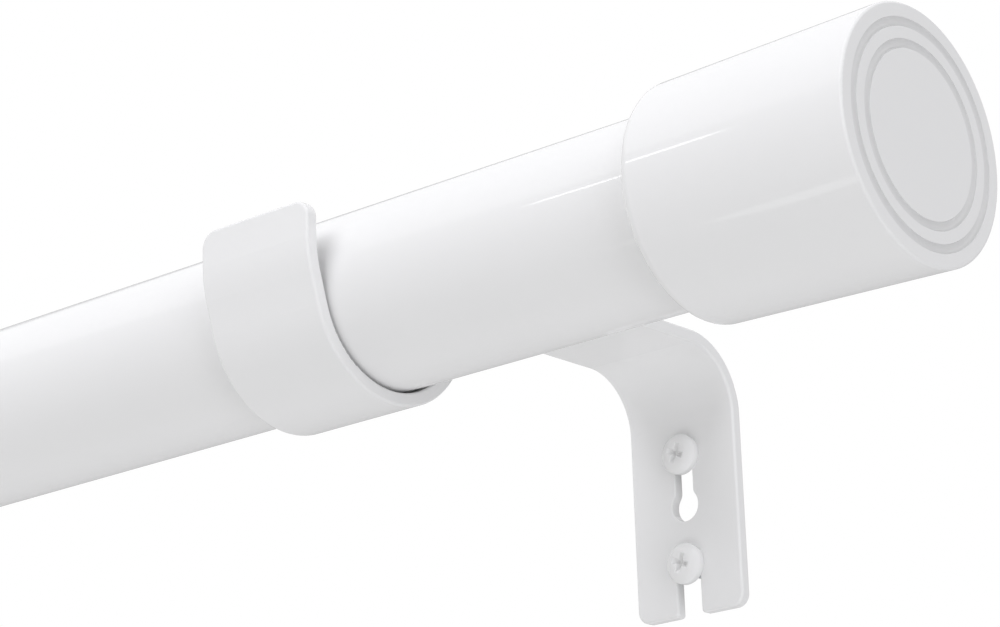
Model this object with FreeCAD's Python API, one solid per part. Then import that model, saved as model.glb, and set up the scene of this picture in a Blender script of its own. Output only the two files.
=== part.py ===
import FreeCAD
import Part

import math
import os

# A telescoping curtain rod on two wall brackets, in millimetres.
# +X runs along the rod, +Y points into the wall and +Z is up.
# The origin lies on the wall, midway between the four wall screws.

# Rod tubes
TUBE_RADIUS = 12.7
TUBE_WALL = 0.8
INNER_TUBE_RADIUS = 11.1
INNER_TUBE_WALL = 0.8
INNER_TUBE_LENGTH = 635.0
TUBE_END_BREAK = 0.25

# How the rod sits on the brackets
BRACKET_SPACING = 577.0
ROD_REACH = 77.2
ROD_HEIGHT = 14.5
FINIAL_OVERHANG = 94.7
MOUTH_OVERHANG = 19.5
EXPOSED_INNER_TUBE = 40.0

# Bracket strip, bent from one length of flat steel
STRIP_WIDTH = 19.9
STRIP_THICKNESS = 1.9
STRIP_EDGE_ROUND = 0.4
HOOK_CLEARANCE = 0.3
ARM_ABOVE_ROD = 9.0
WALL_BEND_RADIUS = 9.3
HOOK_BEND_RADIUS = 3.0
LIP_LEAN = 16.0
LIP_LEAN_LENGTH = 4.7
LIP_BEND_RADIUS = 15.0
LIP_ABOVE_ROD = 10.2
LIP_CORNER_RADIUS = 2.4
PLATE_BELOW_ROD = 30.85
PLATE_CORNER_RADIUS = 2.0

# Openings in the wall plate
SCREW_SPACING = 17.1
NECK_WIDTH = 3.3
KEYHOLE_RADIUS = 2.45
KEYHOLE_DROP = 7.9
KEYHOLE_BLEND = 1.5
KEYHOLE_EDGE_ROUND = 0.25
SLOT_WIDTH = 4.3
SLOT_CORNER_RADIUS = 0.6
OPEN_END = 1.0

# Pan head wall screws
HEAD_RADIUS = 3.12
HEAD_HEIGHT = 2.0
HEAD_SIDE_HEIGHT = 1.0
HEAD_CROWN_FLAT = 1.4
THREAD_RADIUS = 1.65
PLAIN_SHANK_RADIUS = 1.35
SCREW_LENGTH = 12.7
POINT_LENGTH = 3.0
RECESS_DEPTH = 1.1
RECESS_SPAN = 3.9
RECESS_FLOOR_SPAN = 1.2
RECESS_WING_WIDTH = 1.05
RECESS_TURN = 24.0

# Finial shell and its moulded liner
FINIAL_LENGTH = 33.6
FINIAL_FACE_RADIUS = 16.37
FINIAL_SHOULDER_RADIUS = 15.58
FINIAL_EDGE_ROUND = 0.35
SHOULDER_ROUND = 1.5
CAVITY_RADIUS = 13.9
FACE_THICKNESS = 2.0
RING_RADII = (11.15, 13.85)
RING_WIDTH = 1.2
RING_DEPTH = 0.55
LINER_GAP = 0.05
LINER_RECESS = 0.4
LINER_SOCKET_GAP = 0.3
LINER_BASE = 2.0
LINER_STANDOFF = 3.3
STANDOFF_RADIUS = 9.5
STANDOFF_WALL = 1.5
GRIP_RIBS = 6
GRIP_RIB_WIDTH = 1.6
GRIP_RIB_LEAD = 2.0
GRIP_GAP = 0.05
TUBE_STOP_GAP = 0.3

# Sleeve that fits the left finial to the thinner tube
REDUCER_SLIT = 2.0
REDUCER_FLANGE = 1.2

# Plastic bush in the mouth of the outer tube
BUSH_LENGTH = 16.0
BUSH_LIP = 1.6
BUSH_LIP_ROUND = 0.5
BUSH_PRESS_GAP = 0.02
SLIDING_GAP = 0.1

# Plastic guide on the hidden end of the inner tube
GUIDE_HEAD = 9.0
GUIDE_HEAD_BREAK = 1.0
GUIDE_STEM = 16.0
GUIDE_WALL = 2.2
GUIDE_STEM_GAP = 0.05
GUIDE_SEAT_GAP = 0.3

# Sizes that follow from the ones above
TUBE_BORE = TUBE_RADIUS - TUBE_WALL
INNER_TUBE_BORE = INNER_TUBE_RADIUS - INNER_TUBE_WALL
RIGHT_BRACKET_X = BRACKET_SPACING / 2
LEFT_BRACKET_X = -BRACKET_SPACING / 2
RIGHT_FACE_X = RIGHT_BRACKET_X + FINIAL_OVERHANG
MOUTH_X = LEFT_BRACKET_X - MOUTH_OVERHANG
LEFT_FACE_X = MOUTH_X - BUSH_LIP - EXPOSED_INNER_TUBE - FINIAL_LENGTH
TUBE_STOP = FACE_THICKNESS + LINER_STANDOFF + LINER_BASE
UPPER_SCREW_Z = SCREW_SPACING / 2
LOWER_SCREW_Z = -SCREW_SPACING / 2
PLATE_BOTTOM_Z = ROD_HEIGHT - PLATE_BELOW_ROD

ROD_AXIS = FreeCAD.Vector(0, -ROD_REACH, ROD_HEIGHT)
ALONG = FreeCAD.Vector(1, 0, 0)
TO_WALL = FreeCAD.Vector(0, 1, 0)

# How near a point counts as lying on an edge that is looked for
NEAR = 0.01


def on_rod(shape):
    """Moves a shape made about the X axis onto the rod's own axis."""
    placed = shape.copy()
    placed.translate(ROD_AXIS)
    return placed


def turned(profile):
    """Solid of revolution about X from a closed wire drawn in the XZ plane."""
    return Part.Face(profile).revolve(FreeCAD.Vector(0, 0, 0), ALONG, 360)


def outline(points):
    """Closed wire in the XZ plane through (x, radius) points."""
    corners = [FreeCAD.Vector(x, 0, r) for x, r in points]
    return Part.makePolygon(corners + corners[:1])


def ring(x_start, x_end, inner_radius, outer_radius):
    """Plain tube about the X axis."""
    return turned(outline([
        (x_start, inner_radius),
        (x_end, inner_radius),
        (x_end, outer_radius),
        (x_start, outer_radius),
    ]))


def edges_at(shape, test):
    """Edges whose every point passes a test, judged at both ends and the middle."""
    found = []
    for edge in shape.Edges:
        first, last = edge.ParameterRange
        points = [edge.valueAt(first), edge.valueAt((first + last) / 2), edge.valueAt(last)]
        if all(test(p) for p in points):
            found.append(edge)
    return found


def circles_at(shape, x, radius):
    """Circular edges of a turned shape at one place along X and one radius."""
    def on_circle(p):
        return abs(p.x - x) < NEAR and abs(math.hypot(p.y, p.z) - radius) < NEAR
    return edges_at(shape, on_circle)


def make_tube(x_start, x_end, radius, wall):
    """Round steel tube with its cut ends lightly deburred."""
    tube = ring(x_start, x_end, radius - wall, radius)
    rims = circles_at(tube, x_start, radius) + circles_at(tube, x_end, radius)
    return on_rod(tube.makeChamfer(TUBE_END_BREAK, rims))


def make_outer_tube():
    return make_tube(MOUTH_X, RIGHT_FACE_X - TUBE_STOP - TUBE_STOP_GAP, TUBE_RADIUS, TUBE_WALL)


def inner_tube_ends():
    start = LEFT_FACE_X + TUBE_STOP + TUBE_STOP_GAP
    return start, start + INNER_TUBE_LENGTH


def make_inner_tube():
    start, end = inner_tube_ends()
    return make_tube(start, end, INNER_TUBE_RADIUS, INNER_TUBE_WALL)


def make_mouth_bush():
    """Sleeve pressed into the outer tube, with a lip that covers the tube's cut end."""
    hole = INNER_TUBE_RADIUS + SLIDING_GAP
    lip_start = MOUTH_X - BUSH_LIP
    bush = turned(outline([
        (lip_start, hole),
        (MOUTH_X + BUSH_LENGTH, hole),
        (MOUTH_X + BUSH_LENGTH, TUBE_BORE - BUSH_PRESS_GAP),
        (MOUTH_X, TUBE_BORE - BUSH_PRESS_GAP),
        (MOUTH_X, TUBE_RADIUS),
        (lip_start, TUBE_RADIUS),
    ]))
    rim = circles_at(bush, lip_start, TUBE_RADIUS)
    return on_rod(bush.makeFillet(BUSH_LIP_ROUND, rim))


def make_rear_guide():
    """Hollow plug: its head runs in the outer tube, its stem turns in the inner tube."""
    end = inner_tube_ends()[1]
    seat = end + GUIDE_SEAT_GAP
    head_radius = TUBE_BORE - SLIDING_GAP
    stem_radius = INNER_TUBE_BORE - GUIDE_STEM_GAP
    guide = turned(outline([
        (end - GUIDE_STEM, stem_radius - GUIDE_WALL),
        (seat + GUIDE_HEAD, stem_radius - GUIDE_WALL),
        (seat + GUIDE_HEAD, head_radius),
        (seat, head_radius),
        (seat, stem_radius),
        (end - GUIDE_STEM, stem_radius),
    ]))
    rims = circles_at(guide, seat + GUIDE_HEAD, head_radius)
    rims += circles_at(guide, end - GUIDE_STEM, stem_radius)
    return on_rod(guide.makeChamfer(GUIDE_HEAD_BREAK, rims))


def make_finial_shell(face_x, inward):
    """Cast cap, slightly wider at its face, with two rounded rings sunk in the face."""
    rim_x = face_x + inward * FINIAL_LENGTH
    shell = turned(outline([
        (face_x, 0),
        (face_x, FINIAL_FACE_RADIUS),
        (rim_x, FINIAL_SHOULDER_RADIUS),
        (rim_x, CAVITY_RADIUS),
        (face_x + inward * FACE_THICKNESS, CAVITY_RADIUS),
        (face_x + inward * FACE_THICKNESS, 0),
    ]))
    shell = shell.makeFillet(SHOULDER_ROUND, circles_at(shell, rim_x, FINIAL_SHOULDER_RADIUS))
    shell = shell.makeFillet(FINIAL_EDGE_ROUND, circles_at(shell, face_x, FINIAL_FACE_RADIUS))
    cutter_radius = (RING_WIDTH ** 2 / 4 + RING_DEPTH ** 2) / (2 * RING_DEPTH)
    cutter_x = face_x + inward * (RING_DEPTH - cutter_radius)
    for radius in RING_RADII:
        centre = FreeCAD.Vector(cutter_x, 0, 0)
        shell = shell.cut(Part.makeTorus(radius, cutter_radius, centre, ALONG))
    return on_rod(shell)


def make_finial_liner(face_x, inward):
    """Moulded socket inside the shell, with ribs that grip the tube and a stop behind it."""
    def at(depth):
        return face_x + inward * depth
    socket_radius = TUBE_RADIUS + LINER_SOCKET_GAP
    outer_radius = CAVITY_RADIUS - LINER_GAP
    mouth_depth = FINIAL_LENGTH - LINER_RECESS
    liner = turned(outline([
        (at(mouth_depth), socket_radius),
        (at(TUBE_STOP), socket_radius),
        (at(TUBE_STOP), 0),
        (at(TUBE_STOP - LINER_BASE), 0),
        (at(TUBE_STOP - LINER_BASE), outer_radius),
        (at(mouth_depth), outer_radius),
    ]))
    standoff = ring(at(FACE_THICKNESS), at(TUBE_STOP - LINER_BASE),
                    STANDOFF_RADIUS - STANDOFF_WALL, STANDOFF_RADIUS)
    liner = liner.fuse(standoff)
    rib_start = at(TUBE_STOP)
    rib_end = at(mouth_depth - GRIP_RIB_LEAD)
    band = ring(rib_start, rib_end, TUBE_RADIUS + GRIP_GAP, (socket_radius + outer_radius) / 2)
    low = min(rib_start, rib_end)
    rib_box = Part.makeBox(abs(rib_end - rib_start), GRIP_RIB_WIDTH, outer_radius,
                           FreeCAD.Vector(low, -GRIP_RIB_WIDTH / 2, 0))
    rib = band.common(rib_box)
    for number in range(GRIP_RIBS):
        turned_rib = rib.copy()
        turned_rib.rotate(FreeCAD.Vector(0, 0, 0), ALONG, number * 360 / GRIP_RIBS)
        liner = liner.fuse(turned_rib)
    return on_rod(liner.removeSplitter())


def make_reducer(face_x, inward):
    """Split sleeve that fills the liner's socket down to the thinner tube."""
    def at(depth):
        return face_x + inward * depth
    hole = INNER_TUBE_RADIUS + GRIP_GAP
    mouth_depth = FINIAL_LENGTH - LINER_RECESS
    seat_depth = TUBE_STOP + TUBE_STOP_GAP
    sleeve = turned(outline([
        (at(mouth_depth), hole),
        (at(seat_depth), hole),
        (at(seat_depth), TUBE_RADIUS),
        (at(mouth_depth - REDUCER_FLANGE), TUBE_RADIUS),
        (at(mouth_depth - REDUCER_FLANGE), TUBE_RADIUS + LINER_SOCKET_GAP - LINER_GAP),
        (at(mouth_depth), TUBE_RADIUS + LINER_SOCKET_GAP - LINER_GAP),
    ]))
    slit_end = at(mouth_depth - REDUCER_FLANGE)
    low = min(at(seat_depth), slit_end)
    slit = Part.makeBox(abs(slit_end - at(seat_depth)), REDUCER_SLIT, CAVITY_RADIUS,
                        FreeCAD.Vector(low, -REDUCER_SLIT / 2, 0))
    return on_rod(sleeve.cut(slit))


def strip_path():
    """The bends of the bracket strip, from the foot of the wall plate to the hook's lip.

    Each step is (straight length, bend radius of the middle line, bend angle).
    Bends to the left are positive, seen with the wall on the right.
    """
    half = STRIP_THICKNESS / 2
    hook_radius = TUBE_RADIUS + HOOK_CLEARANCE + half
    wall_bend = WALL_BEND_RADIUS + half
    hook_bend = HOOK_BEND_RADIUS + half
    lip_bend = LIP_BEND_RADIUS + half
    plate = PLATE_BELOW_ROD + ARM_ABOVE_ROD - wall_bend
    arm = ROD_REACH - half - wall_bend - hook_radius - hook_bend
    lean = math.radians(LIP_LEAN)
    lip_start = (-hook_radius * math.sin(lean) + LIP_LEAN_LENGTH * math.cos(lean)
                 + lip_bend * math.sin(lean))
    return [
        (plate, wall_bend, 90),
        (arm, hook_bend, 90),
        (ARM_ABOVE_ROD - hook_bend, hook_radius, LIP_LEAN - 180),
        (LIP_LEAN_LENGTH, lip_bend, -LIP_LEAN),
        (LIP_ABOVE_ROD - lip_start, 0, 0),
    ]


def strip_side(steps, start, offset):
    """Edges of one face of the strip, walked along its middle line at a sideways offset."""
    edges = []
    y, z = start
    heading = 90.0

    def beside(y, z, heading):
        a = math.radians(heading)
        return FreeCAD.Vector(0, y - math.sin(a) * offset, z + math.cos(a) * offset)

    for straight, radius, angle in steps:
        a = math.radians(heading)
        here = beside(y, z, heading)
        y += straight * math.cos(a)
        z += straight * math.sin(a)
        there = beside(y, z, heading)
        edges.append(Part.LineSegment(here, there).toShape())
        if not angle:
            continue
        side = math.copysign(1, angle)
        centre_y = y - math.sin(a) * radius * side
        centre_z = z + math.cos(a) * radius * side
        points = []
        for share in (0, 0.5, 1):
            turn = math.radians(heading + angle * share)
            points.append(beside(centre_y + math.sin(turn) * radius * side,
                                 centre_z - math.cos(turn) * radius * side,
                                 heading + angle * share))
        edges.append(Part.Arc(*points).toShape())
        heading += angle
        y = centre_y + math.sin(math.radians(heading)) * radius * side
        z = centre_z - math.cos(math.radians(heading)) * radius * side
    return edges


def make_blank():
    """The bent strip before its corners and edges are eased, centred on X = 0."""
    half = STRIP_THICKNESS / 2
    start = (-half, PLATE_BOTTOM_Z)
    steps = strip_path()
    left = strip_side(steps, start, half)
    right = strip_side(steps, start, -half)
    foot = Part.makeLine(left[0].valueAt(left[0].FirstParameter),
                         right[0].valueAt(right[0].FirstParameter))
    tip = Part.makeLine(left[-1].valueAt(left[-1].LastParameter),
                        right[-1].valueAt(right[-1].LastParameter))
    section = Part.Wire(Part.__sortEdges__(left + right + [foot, tip]))
    blank = Part.Face(section).extrude(FreeCAD.Vector(STRIP_WIDTH, 0, 0))
    blank.translate(FreeCAD.Vector(-STRIP_WIDTH / 2, 0, 0))
    return blank


def plate_cut(x, z, width, height):
    """Block that cuts right through the wall plate."""
    depth = STRIP_THICKNESS * 3
    corner = FreeCAD.Vector(x, -STRIP_THICKNESS * 2, z)
    return Part.makeBox(width, depth, height, corner)


def plate_hole(z, radius):
    """Round cutter through the wall plate, on its centre line."""
    centre = FreeCAD.Vector(0, -STRIP_THICKNESS * 2, z)
    return Part.makeCylinder(radius, STRIP_THICKNESS * 3, centre, TO_WALL)


def make_slot():
    """Cutter for the slot that is open at the foot of the plate and round at its top."""
    height = LOWER_SCREW_Z - PLATE_BOTTOM_Z + OPEN_END
    slot = plate_cut(-SLOT_WIDTH / 2, PLATE_BOTTOM_Z - OPEN_END, SLOT_WIDTH, height)
    return slot.fuse(plate_hole(LOWER_SCREW_Z, SLOT_WIDTH / 2)).removeSplitter()


def make_keyhole():
    """Cutter for a neck that opens downwards into a round hole, with eased corners."""
    hole_z = UPPER_SCREW_Z - KEYHOLE_DROP
    neck = plate_cut(-NECK_WIDTH / 2, hole_z, NECK_WIDTH, KEYHOLE_DROP)
    cutter = neck.fuse(plate_hole(UPPER_SCREW_Z, NECK_WIDTH / 2))
    cutter = cutter.fuse(plate_hole(hole_z, KEYHOLE_RADIUS)).removeSplitter()
    meet_z = hole_z + math.sqrt(KEYHOLE_RADIUS ** 2 - NECK_WIDTH ** 2 / 4)

    def where_neck_meets(p):
        return abs(abs(p.x) - NECK_WIDTH / 2) < NEAR and abs(p.z - meet_z) < NEAR

    return cutter.makeFillet(KEYHOLE_BLEND, edges_at(cutter, where_neck_meets))


def ease_corners(bracket, radius, width, z, y_limit):
    """Rounds the two corners of the strip that lie at a width and a height."""
    def on_corner(p):
        return abs(abs(p.x) - width / 2) < NEAR and abs(p.z - z) < NEAR and p.y < y_limit
    return bracket.makeFillet(radius, edges_at(bracket, on_corner))


def make_bracket(x):
    """One bracket: hook, arm and wall plate in a single bent strip."""
    bracket = make_blank().cut(make_slot())
    lip_top_z = ROD_HEIGHT + LIP_ABOVE_ROD
    bracket = ease_corners(bracket, LIP_CORNER_RADIUS, STRIP_WIDTH, lip_top_z, -ROD_REACH)
    bracket = ease_corners(bracket, PLATE_CORNER_RADIUS, STRIP_WIDTH, PLATE_BOTTOM_Z, 1)
    bracket = ease_corners(bracket, SLOT_CORNER_RADIUS, SLOT_WIDTH, PLATE_BOTTOM_Z, 1)
    bracket = bracket.cut(make_keyhole())

    def on_strip_side(p):
        return abs(abs(p.x) - STRIP_WIDTH / 2) < NEAR

    bracket = bracket.makeFillet(STRIP_EDGE_ROUND, edges_at(bracket, on_strip_side))
    keyhole_foot = UPPER_SCREW_Z - KEYHOLE_DROP - KEYHOLE_RADIUS

    def on_keyhole_rim(p):
        on_face = abs(p.y) < NEAR or abs(p.y + STRIP_THICKNESS) < NEAR
        beside = abs(p.x) < KEYHOLE_RADIUS + NEAR
        return on_face and beside and keyhole_foot - NEAR < p.z < UPPER_SCREW_Z + NECK_WIDTH

    bracket = bracket.makeFillet(KEYHOLE_EDGE_ROUND, edges_at(bracket, on_keyhole_rim))
    bracket.translate(FreeCAD.Vector(x, 0, 0))
    return bracket


def make_recess():
    """Cross recess for the screw head, cut down from the crown along +Y."""
    cutter = None
    for number in range(2):
        half_top = RECESS_SPAN / 2
        half_floor = RECESS_FLOOR_SPAN / 2
        corners = [(-half_top, 0), (half_top, 0), (half_floor, RECESS_DEPTH),
                   (-half_floor, RECESS_DEPTH)]
        points = [FreeCAD.Vector(x, y, -RECESS_WING_WIDTH / 2) for x, y in corners]
        wing = Part.Face(Part.makePolygon(points + points[:1]))
        wing = wing.extrude(FreeCAD.Vector(0, 0, RECESS_WING_WIDTH))
        wing.rotate(FreeCAD.Vector(0, 0, 0), TO_WALL, RECESS_TURN + 90 * number)
        cutter = wing if cutter is None else cutter.fuse(wing)
    return cutter


def make_screw(x, z):
    """Pan head screw: head on the plate, plain shank through it, thread on the wall side."""
    thread_start = STRIP_THICKNESS
    thread_end = SCREW_LENGTH - POINT_LENGTH
    rise = HEAD_HEIGHT - HEAD_SIDE_HEIGHT
    run = HEAD_RADIUS - HEAD_CROWN_FLAT
    crown_radius = (run ** 2 + rise ** 2) / (2 * rise)
    half_turn = math.asin(min(run / crown_radius, 1)) / 2
    crown_start = FreeCAD.Vector(HEAD_RADIUS, -HEAD_SIDE_HEIGHT, 0)
    crown_middle = FreeCAD.Vector(HEAD_CROWN_FLAT + crown_radius * math.sin(half_turn),
                                  -HEAD_HEIGHT + crown_radius * (1 - math.cos(half_turn)), 0)
    crown_end = FreeCAD.Vector(HEAD_CROWN_FLAT, -HEAD_HEIGHT, 0)
    corners = [(HEAD_CROWN_FLAT, -HEAD_HEIGHT), (0, -HEAD_HEIGHT), (0, SCREW_LENGTH),
               (THREAD_RADIUS, thread_end), (THREAD_RADIUS, thread_start),
               (PLAIN_SHANK_RADIUS, thread_start), (PLAIN_SHANK_RADIUS, 0),
               (HEAD_RADIUS, 0), (HEAD_RADIUS, -HEAD_SIDE_HEIGHT)]
    points = [FreeCAD.Vector(r, y, 0) for r, y in corners]
    edges = [Part.makeLine(a, b) for a, b in zip(points, points[1:])]
    edges.append(Part.Arc(crown_start, crown_middle, crown_end).toShape())
    profile = Part.Face(Part.Wire(Part.__sortEdges__(edges)))
    screw = profile.revolve(FreeCAD.Vector(0, 0, 0), TO_WALL, 360)
    recess = make_recess()
    recess.translate(FreeCAD.Vector(0, -HEAD_HEIGHT, 0))
    screw = screw.cut(recess)
    screw.translate(FreeCAD.Vector(x, -STRIP_THICKNESS, z))
    return screw


def make_parts():
    """Every piece of the rod by its name."""
    parts = {
        "outer_tube": make_outer_tube(),
        "inner_tube": make_inner_tube(),
        "mouth_bush": make_mouth_bush(),
        "rear_guide": make_rear_guide(),
        "left_reducer_sleeve": make_reducer(LEFT_FACE_X, 1),
    }
    for side, face_x, inward in (("right", RIGHT_FACE_X, -1), ("left", LEFT_FACE_X, 1)):
        parts[side + "_finial_shell"] = make_finial_shell(face_x, inward)
        parts[side + "_finial_liner"] = make_finial_liner(face_x, inward)
    for side, x in (("right", RIGHT_BRACKET_X), ("left", LEFT_BRACKET_X)):
        parts[side + "_bracket"] = make_bracket(x)
        for level, z in (("upper", UPPER_SCREW_Z), ("lower", LOWER_SCREW_Z)):
            parts[side + "_" + level + "_screw"] = make_screw(x, z)
    return parts


os.makedirs("parts", exist_ok=True)
for name, shape in make_parts().items():
    shape.exportStep("parts/" + name + ".step")
    box = shape.BoundBox
    print(name, "solids", len(shape.Solids), "valid", shape.isValid(),
          "volume", round(shape.Volume, 1), "faces", len(shape.Faces),
          "size", round(box.XLength, 2), round(box.YLength, 2), round(box.ZLength, 2))
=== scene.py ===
# %% [markdown]
# # A white curtain rod on its wall brackets
# The rod's pieces come from a fixed frame of engineering solids. This lesson loads them, puts a
# camera where the photo was taken from, models the pieces whose fine detail the frame leaves
# out, and gives each one the finish of the real thing: gloss white paint on steel, zinc where the
# paint stops, and moulded plastic where the tubes slide.

# %% Load the frame
import math

import bpy
from mathutils import Matrix, Vector


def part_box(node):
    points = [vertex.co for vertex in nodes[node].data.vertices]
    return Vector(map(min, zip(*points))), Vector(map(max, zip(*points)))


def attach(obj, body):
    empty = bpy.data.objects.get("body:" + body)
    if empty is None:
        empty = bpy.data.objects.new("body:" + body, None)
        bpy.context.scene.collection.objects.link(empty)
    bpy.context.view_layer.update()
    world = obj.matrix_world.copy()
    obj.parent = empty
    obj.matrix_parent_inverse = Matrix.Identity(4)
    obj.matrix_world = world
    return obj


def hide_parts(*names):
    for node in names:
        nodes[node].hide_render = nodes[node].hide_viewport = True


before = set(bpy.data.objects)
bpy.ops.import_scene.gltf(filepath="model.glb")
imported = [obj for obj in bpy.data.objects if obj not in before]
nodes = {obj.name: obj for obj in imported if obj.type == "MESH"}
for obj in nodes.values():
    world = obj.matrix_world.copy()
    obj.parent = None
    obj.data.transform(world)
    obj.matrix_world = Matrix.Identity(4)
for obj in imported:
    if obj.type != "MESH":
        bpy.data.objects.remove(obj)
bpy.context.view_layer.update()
bpy.ops.object.select_all(action="DESELECT")
MM = 0.001
print("nodes:", ", ".join(sorted(nodes)))

# %% [markdown]
# ## Where the rod is
# Everything below is placed from the rod's own axis and from the face of its right-hand end cap,
# so these lines read both from the frame instead of repeating numbers.

# %% Find the rod's axis and its right-hand face
tube_low, tube_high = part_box("outer_tube")
cap_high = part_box("right_finial_shell")[1]
ROD_AXIS = Vector((0, (tube_low.y + tube_high.y) / 2, (tube_low.z + tube_high.z) / 2))
FACE_CENTRE = Vector((cap_high.x, ROD_AXIS.y, ROD_AXIS.z))
print("face centre in mm:", [round(v / MM, 1) for v in FACE_CENTRE])

# %% [markdown]
# ## The camera
# A photo's perspective fixes both the lens and the place of the camera. They were found by
# fitting a camera to the edges of the cap, the tube and the bracket, whose sizes are known. The
# camera stands in front of the rod, beyond its right-hand end and a little below it, and looks
# up. Its three turns are in radians.

# %% Add the camera
CAMERA_FROM_FACE = Vector((187.519, -297.000, -131.666)) * MM
CAMERA_YAW = 0.70660
CAMERA_PITCH = 0.30990
CAMERA_ROLL = -0.03300
SENSOR_WIDTH = 36.0
FOCAL_LENGTH_IN_WIDTHS = 3.162272
NEAREST_SEEN = 1 * MM

bpy.ops.object.camera_add()
camera = bpy.context.object
camera.name = "photo_camera"
camera.matrix_world = (
    Matrix.Translation(FACE_CENTRE + CAMERA_FROM_FACE)
    @ Matrix.Rotation(CAMERA_YAW, 4, "Z")
    @ Matrix.Rotation(math.pi / 2 + CAMERA_PITCH, 4, "X")
    @ Matrix.Rotation(CAMERA_ROLL, 4, "Z")
)
camera.data.sensor_width = SENSOR_WIDTH
camera.data.lens = SENSOR_WIDTH * FOCAL_LENGTH_IN_WIDTHS
camera.data.clip_start = NEAREST_SEEN
bpy.context.scene.camera = camera
bpy.context.scene.view_settings.view_transform = "Standard"
print("lens in mm:", round(camera.data.lens, 2))

# %% [markdown]
# ## Helpers for materials
# A designer picks colours as the screen shows them, while the renderer works in linear light, so
# one function turns a hex code into linear values. The next adds one shader node with its
# settings and its incoming links, which keeps every material below down to a few plain lines. The
# last one begins a material.


# %% Colours and nodes
def colour(hex_code):
    """Linear RGBA of an sRGB hex colour."""
    linear = []
    for start in (1, 3, 5):
        value = int(hex_code[start:start + 2], 16) / 255
        linear.append(value / 12.92 if value <= 0.04045 else ((value + 0.055) / 1.055) ** 2.4)
    return (*linear, 1.0)


def add_node(tree, kind, settings=None, links=None):
    """Adds a node. Settings and links name its inputs, by name or number, or its properties."""
    node = tree.nodes.new(kind)
    for name, value in (settings or {}).items():
        if isinstance(name, int) or name in node.inputs:
            node.inputs[name].default_value = value
        else:
            setattr(node, name, value)
    for name, socket in (links or {}).items():
        tree.links.new(socket, node.inputs[name])
    return node


def start_material(name):
    """A new material, its node tree, its surface shader and the piece's own coordinates."""
    material = bpy.data.materials.new(name)
    material.use_nodes = True
    tree = material.node_tree
    shader = tree.nodes["Principled BSDF"]
    place = add_node(tree, "ShaderNodeTexCoord").outputs["Object"]
    return material, tree, shader, place


# A Mix node has sockets for every kind of value. These are the ones that it uses for colours.
MIX_SHARE = 0
MIX_FIRST = 6
MIX_SECOND = 7
MIX_RESULT = 2

# %% [markdown]
# ## Baked white enamel
# Tube, brackets, caps and screw heads are all painted gloss white. Paint is a clear binder full
# of white pigment: a bright diffuse body under a smooth skin, which is what the Principled
# shader's base colour, IOR and low roughness describe. Sprayed paint is never quite even. It has
# faint clouds where it lies thicker, an orange peel, which is a swell a few millimetres wide and
# at most a few thousandths high, and specks finer still. All three are noise at a real size, read
# from the piece's own coordinates. The tube's coat is baked on and the smoothest. The caps are
# sprayed, the brackets powder coated and the screws dipped, so each has its own gloss and peel.

# %% The enamels
PAINT_IOR = 1.5
CLOUD_SIZE = 45 * MM
CLOUD_DETAIL = 2.0
PEEL_DETAIL = 1.0
SPECK_SIZE = 0.9 * MM
SPECK_HEIGHT = 0.0002 * MM
SPECK_DETAIL = 2.0
GLOSS_SPREAD = 0.2


def white_enamel(name, body, cloud, roughness, peel_size, peel_height):
    """Gloss white paint in two shades, whose orange peel has a given width and height."""
    material, tree, shader, place = start_material(name)
    clouds = add_node(tree, "ShaderNodeTexNoise",
                      {"Scale": 1 / CLOUD_SIZE, "Detail": CLOUD_DETAIL}, {"Vector": place})
    tint = add_node(tree, "ShaderNodeMix",
                    {"data_type": "RGBA", MIX_FIRST: colour(body), MIX_SECOND: colour(cloud)},
                    {MIX_SHARE: clouds.outputs["Fac"]})
    peel = add_node(tree, "ShaderNodeTexNoise",
                    {"Scale": 1 / peel_size, "Detail": PEEL_DETAIL}, {"Vector": place})
    specks = add_node(tree, "ShaderNodeTexNoise",
                      {"Scale": 1 / SPECK_SIZE, "Detail": SPECK_DETAIL}, {"Vector": place})
    fine = add_node(tree, "ShaderNodeBump", {"Strength": 1.0, "Distance": SPECK_HEIGHT},
                    {"Height": specks.outputs["Fac"]})
    swell = add_node(tree, "ShaderNodeBump", {"Strength": 1.0, "Distance": peel_height},
                     {"Height": peel.outputs["Fac"], "Normal": fine.outputs["Normal"]})
    gloss = add_node(tree, "ShaderNodeMapRange",
                     {"To Min": roughness * (1 - GLOSS_SPREAD),
                      "To Max": roughness * (1 + GLOSS_SPREAD)},
                     {"Value": clouds.outputs["Fac"]})
    shader.inputs["IOR"].default_value = PAINT_IOR
    tree.links.new(tint.outputs[MIX_RESULT], shader.inputs["Base Color"])
    tree.links.new(gloss.outputs["Result"], shader.inputs["Roughness"])
    tree.links.new(swell.outputs["Normal"], shader.inputs["Normal"])
    return material


tube_enamel = white_enamel(
    "baked_enamel_on_tube", body="#EBEBEB", cloud="#E8E8E8", roughness=0.05,
    peel_size=3.5 * MM, peel_height=0.0008 * MM)
cap_enamel = white_enamel(
    "sprayed_enamel_on_cap", body="#EBEBEB", cloud="#E8E8E8", roughness=0.06,
    peel_size=3.0 * MM, peel_height=0.0008 * MM)
bracket_enamel = white_enamel(
    "powder_coat_on_bracket", body="#EBEBEB", cloud="#E7E7E7", roughness=0.11,
    peel_size=2.0 * MM, peel_height=0.002 * MM)
screw_enamel = white_enamel(
    "dipped_enamel_on_screw", body="#ECECEC", cloud="#E7E7E7", roughness=0.22,
    peel_size=1.2 * MM, peel_height=0.004 * MM)
print("enamels:", tube_enamel.name, cap_enamel.name, bracket_enamel.name, screw_enamel.name)
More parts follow.
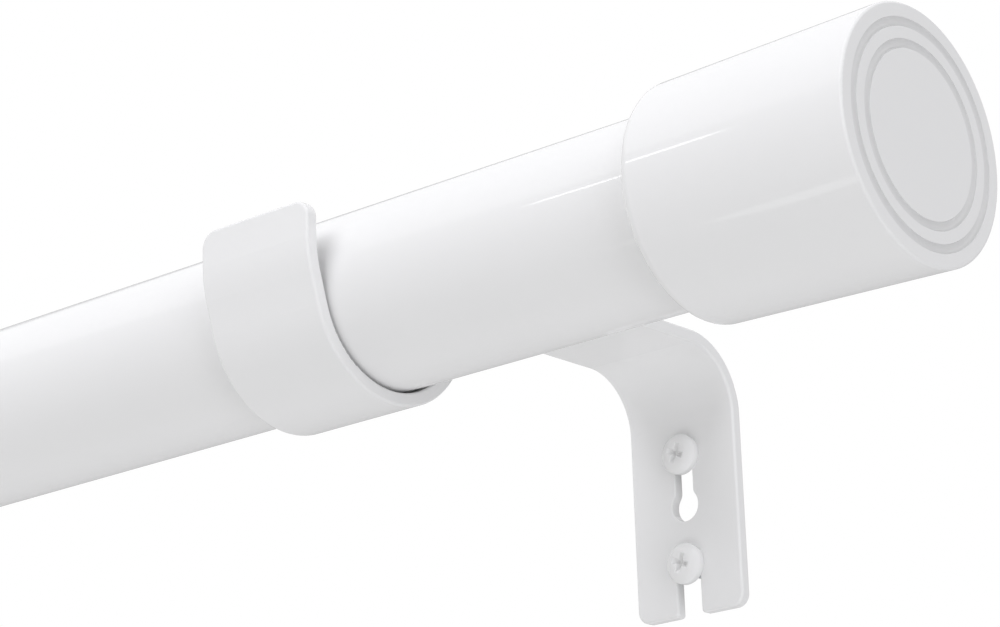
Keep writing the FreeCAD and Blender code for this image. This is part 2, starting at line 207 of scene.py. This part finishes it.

# %% [markdown]
# The floors of the two rings in each cap's face are painted a darker grey, as painted shade for
# the shade that falls into the narrow grooves. The place of the rings is known: a
# little behind the face, and inside a given radius round the rod's axis. The two caps are mirror
# images across the rod's middle, so one mask serves both.

# %% Painted shade in the cap's rings
# Grey painted into the ring floors as shade
PAINTED_RING_SHADE = "#DFDFDF"
RINGS_INSIDE = 14.6 * MM
RING_MIDDLE_DEPTH = 0.34 * MM
RING_HALF_DEPTH = 0.27 * MM


def paint_shade_in_rings(material):
    """Mixes a painted shade into a cap's enamel at the floors of the two rings."""
    tree = material.node_tree
    shader = tree.nodes["Principled BSDF"]
    unshaded_enamel = shader.inputs["Base Color"].links[0].from_socket
    place = add_node(tree, "ShaderNodeTexCoord").outputs["Object"]
    offset = add_node(tree, "ShaderNodeVectorMath", {"operation": "SUBTRACT", 1: ROD_AXIS},
                      {0: place})
    across = add_node(tree, "ShaderNodeVectorMath", {"operation": "MULTIPLY", 1: (0, 1, 1)},
                      {0: offset.outputs["Vector"]})
    radius = add_node(tree, "ShaderNodeVectorMath", {"operation": "LENGTH"},
                      {0: across.outputs["Vector"]})
    inside = add_node(tree, "ShaderNodeMath", {"operation": "LESS_THAN", 1: RINGS_INSIDE},
                      {0: radius.outputs["Value"]})
    along = add_node(tree, "ShaderNodeSeparateXYZ", None, {0: offset.outputs["Vector"]})
    from_middle = add_node(tree, "ShaderNodeMath", {"operation": "ABSOLUTE"},
                           {0: along.outputs["X"]})
    # Compare gives 1 where its first two values differ by less than the third
    deep = add_node(tree, "ShaderNodeMath",
                    {"operation": "COMPARE", 1: FACE_CENTRE.x - RING_MIDDLE_DEPTH,
                     2: RING_HALF_DEPTH}, {0: from_middle.outputs["Value"]})
    in_ring = add_node(tree, "ShaderNodeMath", {"operation": "MULTIPLY"},
                       {0: inside.outputs["Value"], 1: deep.outputs["Value"]})
    # Painted shade: a darker grey where the ring floors lie
    coat = add_node(tree, "ShaderNodeMix", {"data_type": "RGBA", MIX_SECOND: colour(PAINTED_RING_SHADE)},
                    {MIX_SHARE: in_ring.outputs["Value"], MIX_FIRST: unshaded_enamel})
    tree.links.new(coat.outputs[MIX_RESULT], shader.inputs["Base Color"])


# The ring floors of both caps get the painted shade
paint_shade_in_rings(cap_enamel)
print("thinner coat in the rings of:", cap_enamel.name)

# %% [markdown]
# ## Zinc
# The paint stops at the screws' threads and inside the tubes, where the steel is only zinc
# plated. Zinc is a pale bluish metal. Inside a tube it has crystals, called spangle, which a
# Voronoi pattern draws: each cell gets its own roughness, so it catches the light by itself. A
# bore is never polished, so a dull oxide skin hides half of its metal.


# %% The bare zinc
def plated_zinc(name, base, metal_share, roughness_low, roughness_high, spangle_size):
    """Zinc plate on steel, with crystals of a given size."""
    material, tree, shader, place = start_material(name)
    spangle = add_node(tree, "ShaderNodeTexVoronoi", {"Scale": 1 / spangle_size},
                       {"Vector": place})
    gloss = add_node(tree, "ShaderNodeMapRange",
                     {"To Min": roughness_low, "To Max": roughness_high},
                     {"Value": spangle.outputs["Color"]})
    shader.inputs["Base Color"].default_value = colour(base)
    shader.inputs["Metallic"].default_value = metal_share
    tree.links.new(gloss.outputs["Result"], shader.inputs["Roughness"])
    return material


bore_zinc = plated_zinc(
    "galvanised_steel_bore", base="#B9BEC2", metal_share=0.5, roughness_low=0.30,
    roughness_high=0.55, spangle_size=4 * MM)
thread_zinc = plated_zinc(
    "zinc_plated_screw", base="#C6C9CC", metal_share=1.0, roughness_low=0.22,
    roughness_high=0.34, spangle_size=1 * MM)
print("zinc:", bore_zinc.name, thread_zinc.name)

# %% [markdown]
# ## Moulded polypropylene
# The bush, the guide, the liners and the reducer are injection moulded. Their mould is spark
# eroded, which leaves a fine matt grain. The plastic is milky, so a little light scatters inside
# it and softens its shadows.

# %% The plastic
# A real mould's grain is finer than this. It is drawn wide enough to show.
MOULD_GRAIN = 0.35 * MM
MOULD_GRAIN_HEIGHT = 0.006 * MM
MOULD_GRAIN_DETAIL = 3.0
PLASTIC_IOR = 1.49
PLASTIC_ROUGHNESS_LOW = 0.42
PLASTIC_ROUGHNESS_HIGH = 0.55
MILKINESS = 0.08
LIGHT_REACH = 1 * MM


def moulded_plastic(name, base):
    """Matt moulded plastic with the grain of a spark-eroded mould."""
    material, tree, shader, place = start_material(name)
    grain = add_node(tree, "ShaderNodeTexNoise",
                     {"Scale": 1 / MOULD_GRAIN, "Detail": MOULD_GRAIN_DETAIL}, {"Vector": place})
    bump = add_node(tree, "ShaderNodeBump",
                    {"Strength": 1.0, "Distance": MOULD_GRAIN_HEIGHT},
                    {"Height": grain.outputs["Fac"]})
    gloss = add_node(tree, "ShaderNodeMapRange",
                     {"To Min": PLASTIC_ROUGHNESS_LOW, "To Max": PLASTIC_ROUGHNESS_HIGH},
                     {"Value": grain.outputs["Fac"]})
    shader.inputs["Base Color"].default_value = colour(base)
    shader.inputs["IOR"].default_value = PLASTIC_IOR
    shader.inputs["Subsurface Weight"].default_value = MILKINESS
    shader.inputs["Subsurface Scale"].default_value = LIGHT_REACH
    tree.links.new(gloss.outputs["Result"], shader.inputs["Roughness"])
    tree.links.new(bump.outputs["Normal"], shader.inputs["Normal"])
    return material


plastic = moulded_plastic("moulded_polypropylene", base="#DEDED9")
print("plastic:", plastic.name)

# %% [markdown]
# ## Finishes for the pieces that keep their frame shape
# Brackets, caps and plastic parts already have their true form, so they only swap the frame's
# plain material for the real finish.

# %% Dress the frame's own pieces
FINISHES = {
    "right_bracket": bracket_enamel,
    "left_bracket": bracket_enamel,
    "right_finial_shell": cap_enamel,
    "left_finial_shell": cap_enamel,
    "right_finial_liner": plastic,
    "left_finial_liner": plastic,
    "left_reducer_sleeve": plastic,
    "mouth_bush": plastic,
    "rear_guide": plastic,
}
for name, finish in FINISHES.items():
    nodes[name].material_slots[0].material = finish
print("dressed", len(FINISHES), "pieces")

# %% [markdown]
# ## The two tubes
# A rod tube is rolled from painted strip, so its outside is enamel and its bore is zinc. The
# frame's tube has flat facets a few millimetres wide, and a long highlight shows them. A fresh
# cylinder with many sides, given its wall by Solidify and its deburred rims by a bevel, is rounder,
# and its inner faces can have a finish of their own.

# %% Model the tubes
TUBE_SIDES = 160
TUBE_WALL = 0.8 * MM
RIM_BREAK = 0.25 * MM
RIM_STEPS = 2
TUBE_SMOOTH_BELOW = math.radians(20)
NEAR = 0.01 * MM
PAINTED = 0
BARE = 1


def finish_edit():
    """Leaves edit mode with nothing selected."""
    bpy.ops.mesh.select_all(action="DESELECT")
    bpy.ops.object.mode_set(mode="OBJECT")


def model_tube(name, node):
    """Round tube in place of a node, painted outside and bare inside."""
    low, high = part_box(node)
    radius = (high.z - low.z) / 2
    bpy.ops.mesh.primitive_cylinder_add(
        vertices=TUBE_SIDES, radius=radius, depth=high.x - low.x, end_fill_type="NOTHING",
        location=(low + high) / 2, rotation=(0, math.pi / 2, 0))
    tube = bpy.context.object
    tube.name = name
    bpy.ops.object.transform_apply(location=True, rotation=True, scale=True)

    wall = tube.modifiers.new("wall", "SOLIDIFY")
    wall.thickness = TUBE_WALL
    wall.offset = -1  # inwards from the cylinder
    bpy.ops.object.modifier_apply(modifier=wall.name)

    # Only in edge select mode does a mesh keep a choice of edges as it was made
    bpy.ops.object.mode_set(mode="EDIT")
    bpy.ops.mesh.select_mode(type="EDGE")
    finish_edit()
    for edge in tube.data.edges:
        ends = [tube.data.vertices[v].co for v in edge.vertices]
        across = abs(ends[0].x - ends[1].x) < NEAR
        outside = all((p - ROD_AXIS).yz.length > radius - NEAR for p in ends)
        edge.select = across and outside
    bpy.ops.object.mode_set(mode="EDIT")
    bpy.ops.mesh.bevel(offset=RIM_BREAK, segments=RIM_STEPS, affect="EDGES")
    finish_edit()
    bpy.ops.object.shade_smooth_by_angle(angle=TUBE_SMOOTH_BELOW)

    tube.data.materials.append(tube_enamel)
    tube.data.materials.append(bore_zinc)
    for face in tube.data.polygons:
        outward = (face.center - ROD_AXIS).yz
        in_bore = face.normal.yz.dot(outward) < -outward.length / 2
        face.material_index = BARE if in_bore else PAINTED
    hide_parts(node)
    return tube


outer_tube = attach(model_tube("painted_outer_tube", "outer_tube"), "wall_brackets")
inner_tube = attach(model_tube("painted_inner_tube", "inner_tube"), "inner_rod")
print("tube faces:", len(outer_tube.data.polygons), len(inner_tube.data.polygons))

# %% [markdown]
# ## The wall screws
# A pan head screw is cold headed from wire. Its head has a low crown and a tapered cross recess,
# and its thread is rolled between flat dies, which leaves it wider than the plain neck. The screw
# is modelled once, standing upright with its head at the top. The head starts as a disc that is
# extruded up and drawn in, ring by ring, along the crown's arc.

# %% The screw's head
HEAD_RADIUS = 3.12 * MM
HEAD_SIDE_HEIGHT = 1.0 * MM
HEAD_HEIGHT = 2.0 * MM
CROWN_FLAT_RADIUS = 1.4 * MM
CROWN_STEPS = 8
HEAD_SIDES = 72


def start_disc(name, sides, radius, height):
    """A flat disc round the upright axis, selected in edit mode."""
    bpy.ops.mesh.primitive_circle_add(vertices=sides, radius=radius, fill_type="NGON")
    disc = bpy.context.object
    disc.name = name
    bpy.ops.object.mode_set(mode="EDIT")
    bpy.ops.mesh.select_all(action="SELECT")
    bpy.ops.transform.translate(value=(0, 0, height))
    return disc


def extrude_and_scale(rise, factor):
    """Extrudes the selected face along the axis and scales it about the axis."""
    bpy.ops.mesh.extrude_region_move(TRANSFORM_OT_translate={"value": (0, 0, rise)})
    bpy.ops.transform.resize(value=(factor, factor, 1), center_override=(0, 0, 0))


def face_outwards():
    """Turns every face outwards and leaves edit mode."""
    bpy.ops.mesh.select_all(action="SELECT")
    bpy.ops.mesh.normals_make_consistent(inside=False)
    finish_edit()


screw = start_disc("wall_screw", HEAD_SIDES, HEAD_RADIUS, 0)
extrude_and_scale(HEAD_SIDE_HEIGHT, 1)
rise = HEAD_HEIGHT - HEAD_SIDE_HEIGHT
run = HEAD_RADIUS - CROWN_FLAT_RADIUS
crown_radius = (run ** 2 + rise ** 2) / (2 * rise)
crown_turn = math.asin(run / crown_radius)
ring_radius = HEAD_RADIUS
ring_height = 0
for step in range(1, CROWN_STEPS + 1):
    angle = crown_turn * (1 - step / CROWN_STEPS)
    radius = CROWN_FLAT_RADIUS + crown_radius * math.sin(angle)
    height = rise - crown_radius * (1 - math.cos(angle))
    extrude_and_scale(height - ring_height, radius / ring_radius)
    ring_radius = radius
    ring_height = height
face_outwards()
print("head faces before the recess:", len(screw.data.polygons))

# %% [markdown]
# The recess is cut with the Boolean modifier. Each wedge starts as a cube, stretched to the cross's
# span, and its lower face is drawn in, as the tip of a driver is.

# %% The cross recess
RECESS_SPAN = 3.9 * MM
RECESS_WING = 1.15 * MM
RECESS_DEPTH = 0.8 * MM
RECESS_FLOOR_SHARE = 0.3
RECESS_TURN = math.radians(-24)
ABOVE_HEAD = 0.3 * MM
LOOKS_DOWN = -0.5


def cut_wedge(turn):
    """Cuts one tapered slot across the head, turned about its axis."""
    height = RECESS_DEPTH + ABOVE_HEAD
    middle = HEAD_HEIGHT + ABOVE_HEAD - height / 2
    bpy.ops.mesh.primitive_cube_add(size=1, location=(0, 0, middle), rotation=(0, 0, turn))
    wedge = bpy.context.object
    wedge.scale = (RECESS_SPAN, RECESS_WING, height)
    bpy.ops.object.transform_apply(location=True, rotation=True, scale=True)
    bpy.ops.object.mode_set(mode="EDIT")
    bpy.ops.mesh.select_mode(type="FACE")
    finish_edit()
    for face in wedge.data.polygons:
        face.select = face.normal.z < LOOKS_DOWN
    bpy.ops.object.mode_set(mode="EDIT")
    bpy.ops.transform.resize(value=(RECESS_FLOOR_SHARE, RECESS_FLOOR_SHARE, 1),
                             center_override=(0, 0, 0))
    finish_edit()
    cut = screw.modifiers.new("recess", "BOOLEAN")
    cut.object = wedge
    bpy.context.view_layer.objects.active = screw
    bpy.ops.object.modifier_apply(modifier=cut.name)
    bpy.data.objects.remove(wedge)


cut_wedge(RECESS_TURN)
cut_wedge(RECESS_TURN + math.pi / 2)
print("head faces with the recess:", len(screw.data.polygons))

# %% [markdown]
# Paint gathers in the recess and on the rim, so no edge of the head is sharp. A narrow bevel on
# the edges that turn by more than 30 degrees rounds them.

# %% Round the head's edges
HEAD_EDGE_ROUND = 0.16 * MM
HEAD_EDGE_STEPS = 2
SHARP_ABOVE = math.radians(30)

ease = screw.modifiers.new("ease", "BEVEL")
ease.width = HEAD_EDGE_ROUND
ease.segments = HEAD_EDGE_STEPS
ease.limit_method = "ANGLE"
ease.angle_limit = SHARP_ABOVE
bpy.ops.object.modifier_apply(modifier=ease.name)
screw.data.materials.append(screw_enamel)
screw.data.materials.append(thread_zinc)
print("head faces with rounded edges:", len(screw.data.polygons))

# %% [markdown]
# The shank is another disc, extruded down through the plate as a plain neck, then drawn in and
# extruded on as the thread's core. A Taper will form its point. It starts at the object's origin,
# so the shank is modelled with the start of its point there and is lowered into place afterwards.

# %% The shank
NECK_RADIUS = 1.35 * MM
NECK_LENGTH = 1.9 * MM
CORE_RADIUS = 1.15 * MM
SCREW_LENGTH = 12.7 * MM
POINT_LENGTH = 3.0 * MM
SHANK_SIDES = 40
INTO_HEAD = 0.3 * MM

neck_top = SCREW_LENGTH - POINT_LENGTH
step_height = NECK_RADIUS - CORE_RADIUS
shank = start_disc("shank", SHANK_SIDES, NECK_RADIUS, neck_top + INTO_HEAD)
extrude_and_scale(-NECK_LENGTH - INTO_HEAD, 1)
extrude_and_scale(-step_height, CORE_RADIUS / NECK_RADIUS)
extrude_and_scale(-(neck_top - NECK_LENGTH - step_height), 1)
extrude_and_scale(-POINT_LENGTH, 1)
face_outwards()
print("shank faces without the thread:", len(shank.data.polygons))

# %% [markdown]
# The thread is one tooth, a triangle that the Screw modifier sweeps round the axis, one pitch down
# for each turn. The tooth starts as a circle with three corners and a radius of 1, which stands
# 1.5 high from base to tip and is the square root of 3 wide, and is scaled to the thread's size.

# %% The thread
THREAD_RADIUS = 1.65 * MM
THREAD_PITCH = 1.35 * MM
THREAD_TURNS = 7
THREAD_START = 0.6 * MM
TOOTH_WIDTH = 0.95 * MM
INTO_CORE = 0.06 * MM
TRIANGLE_CORNERS = 3
TRIANGLE_HEIGHT = 1.5
TRIANGLE_WIDTH = math.sqrt(3)

tooth_height = THREAD_RADIUS - CORE_RADIUS + INTO_CORE
bpy.ops.mesh.primitive_circle_add(
    vertices=TRIANGLE_CORNERS, radius=1, rotation=(math.pi / 2, math.pi / 2, 0),
    location=(THREAD_RADIUS - tooth_height / TRIANGLE_HEIGHT, 0,
              neck_top - NECK_LENGTH - THREAD_START))
tooth = bpy.context.object
tooth.scale = (TOOTH_WIDTH / TRIANGLE_WIDTH, tooth_height / TRIANGLE_HEIGHT, 1)
bpy.ops.object.transform_apply(location=True, rotation=True, scale=True)
sweep = tooth.modifiers.new("sweep", "SCREW")
sweep.axis = "Z"
sweep.screw_offset = -THREAD_PITCH
sweep.iterations = THREAD_TURNS
sweep.steps = SHANK_SIDES
sweep.use_merge_vertices = True
bpy.ops.object.modifier_apply(modifier=sweep.name)
bpy.ops.object.mode_set(mode="EDIT")
bpy.ops.mesh.select_all(action="SELECT")
bpy.ops.mesh.fill_holes(sides=TRIANGLE_CORNERS)
face_outwards()
print("thread faces:", len(tooth.data.polygons))

# %% [markdown]
# The thread joins its core, and the Taper draws both in below the origin until they end in a
# point. Then the whole shank moves down until its neck meets the head.

# %% The point
POINT_TAPER = 0.92

shank.select_set(True)
bpy.context.view_layer.objects.active = shank
bpy.ops.object.join()
point = shank.modifiers.new("point", "SIMPLE_DEFORM")
point.deform_method = "TAPER"
point.deform_axis = "Z"
point.factor = POINT_TAPER
point.limits = (0, POINT_LENGTH / (SCREW_LENGTH + INTO_HEAD))
bpy.ops.object.modifier_apply(modifier=point.name)
bpy.ops.object.mode_set(mode="EDIT")
bpy.ops.mesh.select_all(action="SELECT")
bpy.ops.transform.translate(value=(0, 0, -neck_top))
finish_edit()
shank.data.materials.append(screw_enamel)
shank.data.materials.append(thread_zinc)
for face in shank.data.polygons:
    face.material_index = BARE
print("shank faces:", len(shank.data.polygons))

# %% [markdown]
# Head and shank become one screw. It still stands upright at the origin, so each copy is laid down
# with its point towards the wall and set in its hole. Nobody drives four screws to the same turn,
# and so each cross stands at its own angle. The place goes into the mesh at once, because a
# finished piece's object sits at the origin.

# %% Join the screw and drive one into each hole
SCREW_SMOOTH_BELOW = math.radians(35)
# Degrees that each screw is turned
SCREW_TURNS = {
    "right_upper_screw": 0,
    "right_lower_screw": 2,
    "left_upper_screw": 33,
    "left_lower_screw": -20,
}

shank.select_set(True)
screw.select_set(True)
bpy.context.view_layer.objects.active = screw
bpy.ops.object.join()
bpy.ops.object.shade_smooth_by_angle(angle=SCREW_SMOOTH_BELOW)
bpy.ops.object.select_all(action="DESELECT")
for name, turn in SCREW_TURNS.items():
    low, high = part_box(name)
    screw.select_set(True)
    bpy.context.view_layer.objects.active = screw
    bpy.ops.object.duplicate()
    copy = bpy.context.object
    copy.name = "threaded_" + name
    under_head = Vector(((low.x + high.x) / 2, high.y - SCREW_LENGTH, (low.z + high.z) / 2))
    copy.matrix_world = (Matrix.Translation(under_head)
                         @ Matrix.Rotation(math.pi / 2, 4, "X")
                         @ Matrix.Rotation(math.radians(turn), 4, "Z"))
    bpy.ops.object.transform_apply(location=True, rotation=True, scale=True)
    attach(copy, "wall_brackets")
    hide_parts(name)
    bpy.ops.object.select_all(action="DESELECT")
bpy.data.objects.remove(screw)
print("screws:", ", ".join(SCREW_TURNS))

# %% [markdown]
# ## The studio
# The photo was taken in a white studio. Its background is pure white, and soft light reaches the
# rod from all round, most of it from above and in front. The world gives the even part of that
# light: it is white to the camera, to reflections and through glass, and dimmer as a lamp.

# %% The world
ROOM_LIGHT = 0.486
WHITE = (1, 1, 1, 1)

world = bpy.data.worlds.new("white_studio")
bpy.context.scene.world = world
world.use_nodes = True
tree = world.node_tree
room = tree.nodes["Background"]
room.inputs["Color"].default_value = WHITE
room.inputs["Strength"].default_value = ROOM_LIGHT
backdrop = add_node(tree, "ShaderNodeBackground", {"Color": WHITE, "Strength": 1.0})
rays = add_node(tree, "ShaderNodeLightPath")
seen = add_node(tree, "ShaderNodeMath", {"operation": "MAXIMUM"},
                {0: rays.outputs["Is Camera Ray"], 1: rays.outputs["Is Glossy Ray"]})
seen_or_through = add_node(tree, "ShaderNodeMath", {"operation": "MAXIMUM"},
                           {0: seen.outputs["Value"], 1: rays.outputs["Is Transmission Ray"]})
mix = add_node(tree, "ShaderNodeMixShader", None,
               {0: seen_or_through.outputs["Value"], 1: room.outputs["Background"],
                2: backdrop.outputs["Background"]})
tree.links.new(mix.outputs["Shader"], tree.nodes["World Output"].inputs["Surface"])
print("world:", world.name)

# %% [markdown]
# The floor is a wide sheet of pale matt paper, far enough below the rod to catch no shadow of it.
# It is clear from below, so that a view from a low place still shows the rod's underside.

# %% The floor
FLOOR_BELOW_ROD = 2.2
FLOOR_SIZE = 40.0
FLOOR_COLOUR = "#F0F0F0"
FLOOR_ROUGHNESS = 0.9

bpy.ops.mesh.primitive_plane_add(size=FLOOR_SIZE,
                                 location=(0, 0, ROD_AXIS.z - FLOOR_BELOW_ROD))
floor = bpy.context.object
floor.name = "pale_floor"
bpy.ops.object.transform_apply(location=True, rotation=True, scale=True)
paper, tree, shader, _ = start_material("pale_floor")
shader.inputs["Base Color"].default_value = colour(FLOOR_COLOUR)
shader.inputs["Roughness"].default_value = FLOOR_ROUGHNESS
clear = add_node(tree, "ShaderNodeBsdfTransparent")
sides = add_node(tree, "ShaderNodeNewGeometry")
one_sided = add_node(tree, "ShaderNodeMixShader", None,
                     {0: sides.outputs["Backfacing"], 1: shader.outputs["BSDF"],
                      2: clear.outputs["BSDF"]})
tree.links.new(one_sided.outputs["Shader"], tree.nodes["Material Output"].inputs["Surface"])
floor.data.materials.append(paper)
print("floor:", floor.name)

# %% [markdown]
# ## Grey cards
# White paint on white vanishes at its edges, where a glossy surface turns into a mirror of what
# stands behind it. A photographer hangs grey cards round the set, just out of the picture, and
# the edges come back as thin grey lines. Here the cards are one open drum round the rod. Only
# reflections see it, so it takes no light away and never shows in the picture itself.

# %% The cards round the set
CARD_DISTANCE = 3.0
CARD_HEIGHT = 4.2
CARD_SIDES = 64
CARD_GREY = "#C2C2C2"
BLACK = (0, 0, 0, 1)

bpy.ops.mesh.primitive_cylinder_add(
    vertices=CARD_SIDES, radius=CARD_DISTANCE, depth=CARD_HEIGHT, end_fill_type="NOTHING",
    location=(0, ROD_AXIS.y, ROD_AXIS.z))
cards = bpy.context.object
cards.name = "grey_cards"
bpy.ops.object.transform_apply(location=True, rotation=True, scale=True)
card, _, shader, _ = start_material("grey_card")
shader.inputs["Base Color"].default_value = BLACK
shader.inputs["Specular IOR Level"].default_value = 0
shader.inputs["Emission Color"].default_value = colour(CARD_GREY)
shader.inputs["Emission Strength"].default_value = 1.0
cards.data.materials.append(card)
for ray in ("camera", "diffuse", "transmission", "volume_scatter", "shadow"):
    setattr(cards, "visible_" + ray, False)
print("cards:", cards.name)

# %% [markdown]
# ## The lamps
# Six large soft boxes light the rod. The main one hangs above and in front, another along the
# ceiling, and two stand on the right, where the cap's face looks. Two more lie low in front and
# on the left, so that the underside isn't dark. Each is set by its direction from the rod, its
# size and its radiance, which is how bright its own surface looks. None of them shows in a
# reflection.

# %% The soft boxes
BOX_DISTANCE = 2.5
COOL_WHITE = (0.965, 0.965, 1.0)
COOL_BOXES = ("main_box", "ceiling_box", "right_box", "low_right_box")
# Degrees round to the right, degrees up, width and height in metres, radiance
SOFT_BOXES = {
    "main_box": (-8, 47, 1.9, 1.6, 3.50),
    "ceiling_box": (0, 80, 3.6, 0.9, 1.85),
    "right_box": (65, 22, 1.2, 1.8, 1.32),
    "low_right_box": (82, -22, 1.3, 1.1, 3.25),
    "low_front_box": (-8, -42, 1.8, 1.2, 1.42),
    "low_left_box": (-100, -36, 1.4, 1.4, 1.23),
}
LIT_POINT = FACE_CENTRE + Vector((-60, 0, 0)) * MM


def direction_from_rod(degrees_round, degrees_up):
    """Direction that turns from the front to the right and rises from level."""
    around = math.radians(degrees_round)
    up = math.radians(degrees_up)
    return (math.sin(around) * math.cos(up), -math.cos(around) * math.cos(up), math.sin(up))


def add_lamp(name, target, direction, distance, width, height, radiance):
    """Area lamp that faces a target from a direction, as bright as its radiance says."""
    aim = Vector(direction).normalized()
    bpy.ops.object.light_add(type="AREA")
    lamp = bpy.context.object
    lamp.name = name
    lamp.matrix_world = (Matrix.Translation(target + aim * distance)
                         @ aim.to_track_quat("Z", "Y").to_matrix().to_4x4())
    lamp.data.shape = "RECTANGLE"
    lamp.data.size = width
    lamp.data.size_y = height
    lamp.data.energy = radiance * math.pi * width * height
    return lamp


for name, (degrees_round, degrees_up, width, height, radiance) in SOFT_BOXES.items():
    direction = direction_from_rod(degrees_round, degrees_up)
    box = add_lamp(name, LIT_POINT, direction, BOX_DISTANCE, width, height, radiance)
    box.visible_glossy = False
    if name in COOL_BOXES:
        box.data.color = COOL_WHITE
print("soft boxes:", ", ".join(SOFT_BOXES))

# %% [markdown]
# A thin bright streak on gloss paint is the mirror image of a small lamp. Two of them draw the
# rod's streaks. Each is set by the point of the rod where its image lies and by the direction in
# which that point mirrors the camera's view.

# %% The two lamps that draw the streaks
STREAK_POINT = FACE_CENTRE + Vector((-42.75, -12.67, 0.87)) * MM
LOW_STREAK_POINT = FACE_CENTRE + Vector((-10.65, -13.5, -8.8)) * MM

add_lamp("small_bright_lamp", STREAK_POINT, direction=(-0.586, -0.672, 0.443), distance=1.2,
         width=0.055, height=0.022, radiance=6.5)
add_lamp("small_low_lamp", LOW_STREAK_POINT, direction=(-0.550, -0.596, -0.557), distance=1.0,
         width=0.11, height=0.09, radiance=0.98)
print("small lamps:", "small_bright_lamp, small_low_lamp")
